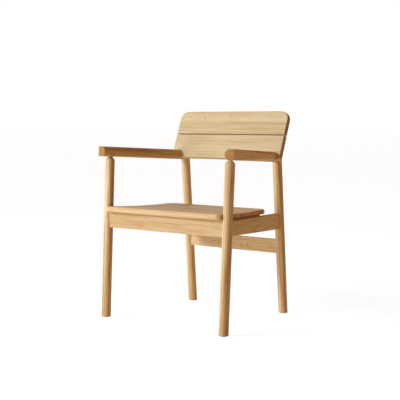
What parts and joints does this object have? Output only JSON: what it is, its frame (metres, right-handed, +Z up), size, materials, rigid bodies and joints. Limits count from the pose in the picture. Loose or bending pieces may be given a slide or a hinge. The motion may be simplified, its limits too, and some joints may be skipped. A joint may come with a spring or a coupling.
{
  "type": "armchair",
  "caption": "Wooden dining armchair: round legs, plank rails, dished seat glued up from staves, round sloping arms and a leaning two-board back.",
  "frame": {"origin": "on the floor, at the middle of the chair's footprint", "axes": "+Z up; -Y is the way the sitter faces (front of the chair); +X is the sitter's left"},
  "size_m": [0.632, 0.5088, 0.7845],
  "materials": {
    "oak_frame": "oiled oak, satin",
    "oak_back": "oiled oak, satin",
    "oak_arms": "oiled oak, satin",
    "oak_seat": "oiled oak, satin",
    "steel_screws": "zinc plated",
    "glides": "moulded nylon, matt"
  },
  "bodies": {
    "root": {"front_rail": "oak_frame", "rear_rail": "oak_frame", "back_board_lower": "oak_back", "back_board_upper": "oak_back", "back_screw_plugs": "oak_frame", "arm_screw_plugs": "oak_frame", "arm_left": "oak_arms", "arm_right": "oak_arms", "front_leg_left": "oak_frame", "front_leg_right": "oak_frame", "rear_leg_left": "oak_frame", "rear_leg_right": "oak_frame", "seat_cleat_left": "oak_frame", "seat_cleat_right": "oak_frame", "side_rail_left": "oak_frame", "side_rail_right": "oak_frame", "seat_stave_01": "oak_seat", "seat_stave_02": "oak_seat", "seat_stave_03": "oak_seat", "seat_stave_04": "oak_seat", "seat_stave_05": "oak_seat", "seat_stave_06": "oak_seat", "seat_stave_07": "oak_seat", "seat_stave_08": "oak_seat", "seat_stave_09": "oak_seat", "seat_stave_10": "oak_seat", "back_screws": "steel_screws", "arm_screws": "steel_screws", "seat_screws": "steel_screws", "cleat_screws": "steel_screws", "glide_front_left": "glides", "glide_front_right": "glides", "glide_rear_left": "glides", "glide_rear_right": "glides"}
  },
  "joints": []
}
